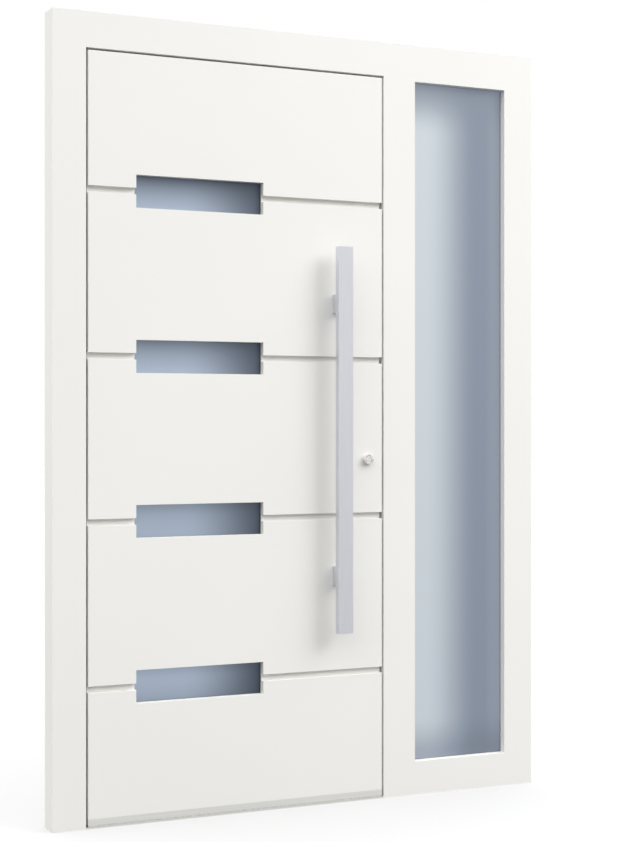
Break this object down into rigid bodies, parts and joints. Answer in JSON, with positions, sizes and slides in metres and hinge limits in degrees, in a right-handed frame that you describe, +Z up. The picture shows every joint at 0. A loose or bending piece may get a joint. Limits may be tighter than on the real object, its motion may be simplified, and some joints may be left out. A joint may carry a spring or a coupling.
{
  "type": "front door",
  "caption": "White front door set with a flush grooved leaf, narrow satin glass slots, a long steel pull bar and a tall fixed side light.",
  "frame": {"origin": "underside of the threshold, midway along the frame's width and depth", "axes": "+X right seen from outside, +Y into the house, +Z up"},
  "size_m": [1.5, 0.206, 2.2],
  "materials": {
    "white_powder_coat": "satin",
    "satin_stainless": "satin",
    "anodised_aluminium": "satin",
    "satin_glass": "frosted",
    "seal_rubber": "matte",
    "glass_spacer": "matte"
  },
  "bodies": {
    "frame": {"hinge_jamb": "white_powder_coat", "side_jamb": "white_powder_coat", "head_rail": "white_powder_coat", "mullion": "white_powder_coat", "side_bottom_rail": "white_powder_coat", "threshold": "anodised_aluminium", "strike_plate": "satin_stainless", "side_glazing_gasket": "seal_rubber", "side_glass_outer": "satin_glass", "side_glass_spacer": "glass_spacer", "side_glass_inner": "satin_glass", "side_glazing_beads": "white_powder_coat", "lower_frame_hinge": "satin_stainless", "middle_frame_hinge": "satin_stainless", "upper_frame_hinge": "satin_stainless"},
    "leaf": {"leaf_hinge_stile": "white_powder_coat", "leaf_lock_stile": "white_powder_coat", "leaf_top_rail": "white_powder_coat", "leaf_bottom_rail": "white_powder_coat", "leaf_infill": "white_powder_coat", "lite_glass_1": "satin_glass", "lite_glass_2": "satin_glass", "lite_glass_3": "satin_glass", "lite_glass_4": "satin_glass", "lite_gaskets": "seal_rubber", "lite_trims": "white_powder_coat", "facing_panel_1": "white_powder_coat", "facing_panel_2": "white_powder_coat", "facing_panel_3": "white_powder_coat", "facing_panel_4": "white_powder_coat", "facing_panel_5": "white_powder_coat", "bottom_strip": "anodised_aluminium", "leaf_seal": "seal_rubber", "bottom_seal": "seal_rubber", "lock_faceplate": "satin_stainless", "lock_bolts": "satin_stainless", "cylinder_rose": "satin_stainless", "lock_cylinder": "satin_stainless", "pull_bar": "satin_stainless", "pull_post_lower": "satin_stainless", "pull_post_upper": "satin_stainless", "inside_lever_rose": "satin_stainless", "inside_lever": "satin_stainless", "inside_cylinder_rose": "satin_stainless", "lower_leaf_hinge": "satin_stainless", "middle_leaf_hinge": "satin_stainless", "upper_leaf_hinge": "satin_stainless"}
  },
  "joints": [
    {"name": "leaf_swing", "type": "hinge", "parent": "frame", "child": "leaf", "pos_m": [-0.679, 0.047, 1.05], "axis": [0, 0, 1], "range_deg": [0, 100]}
  ]
}
